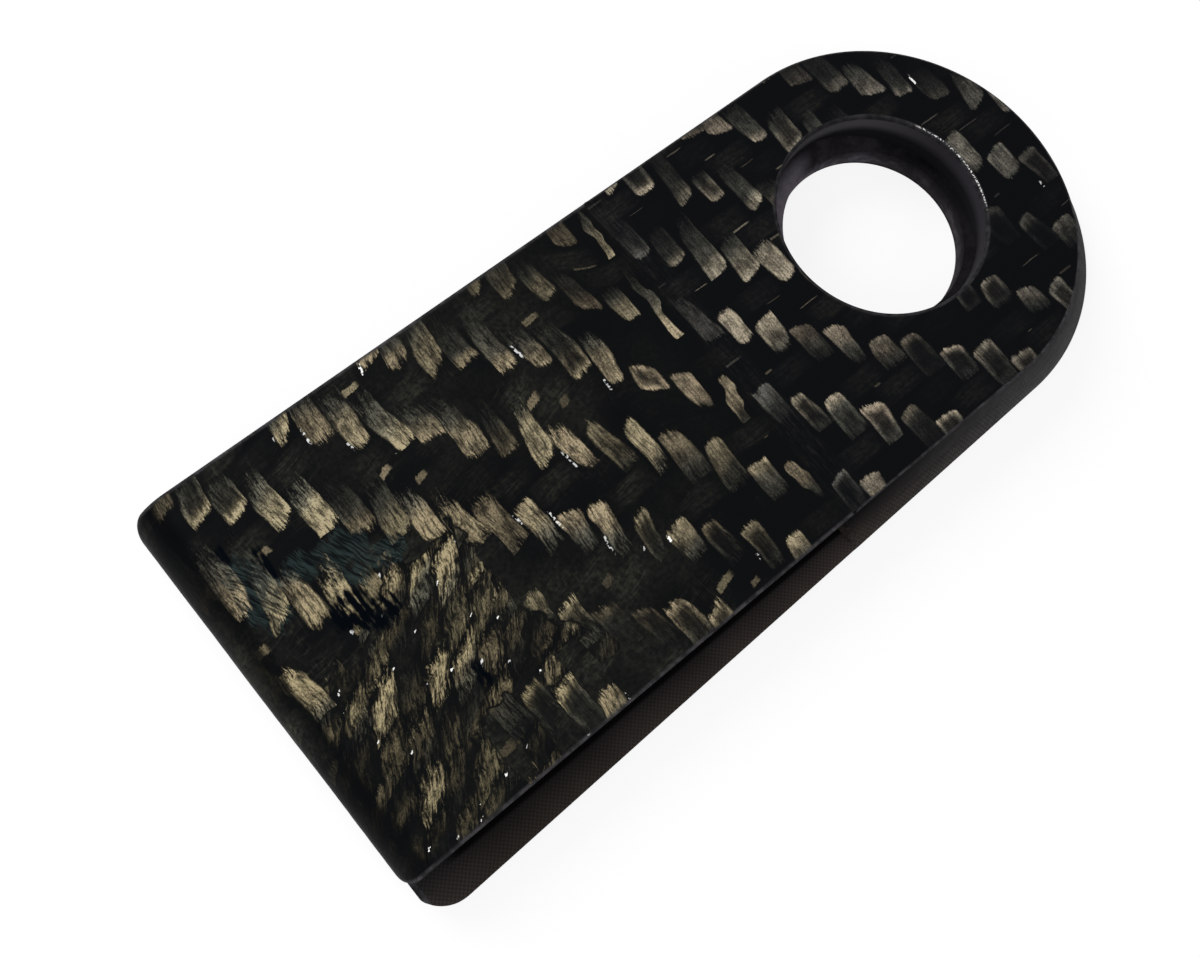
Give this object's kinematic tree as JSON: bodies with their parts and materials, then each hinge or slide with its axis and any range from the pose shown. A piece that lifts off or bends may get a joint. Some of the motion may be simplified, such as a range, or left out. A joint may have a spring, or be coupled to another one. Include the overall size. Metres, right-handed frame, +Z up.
{
  "type": "folded carbon-fibre strap with an eye",
  "caption": "Flat laminated strap folded in a U: a drilled round eye at one end, bonded packing between its leaves there, and an open slot up to the bend at the other end.",
  "frame": {"origin": "on the axis of the upper leaf's hole, at the underside of the lower leaf", "axes": "+Z up along the upper hole's axis out of the upper leaf, +X along the strap from the bend towards the eye, +Y to the left"},
  "size_m": [0.0798, 0.035, 0.0064],
  "materials": {
    "twill_cover": "flat clear-resin surface over crisp twill carbon cloth",
    "twill_wrap": "hand-laid twill carbon cloth, uneven tows, clear resin with pits",
    "leaf_laminate": "sanded cut edge of carbon plies",
    "peel_lining": "fine fabric imprint left by peel ply",
    "packing_laminate": "sanded cut edge of carbon plies, grey with dust"
  },
  "bodies": {
    "root": {"upper_cover_ply": "twill_cover", "lower_cover_ply": "twill_cover", "wrap_cover_ply": "twill_wrap", "bias_ply": "leaf_laminate", "strap_ply_outer": "leaf_laminate", "strap_ply_inner": "leaf_laminate", "upper_eye_ply": "leaf_laminate", "lower_eye_ply": "leaf_laminate", "slot_lining_ply": "peel_lining", "packing_ply_1": "packing_laminate", "packing_ply_2": "packing_laminate", "packing_ply_3": "packing_laminate", "packing_ply_4": "packing_laminate"}
  },
  "joints": []
}
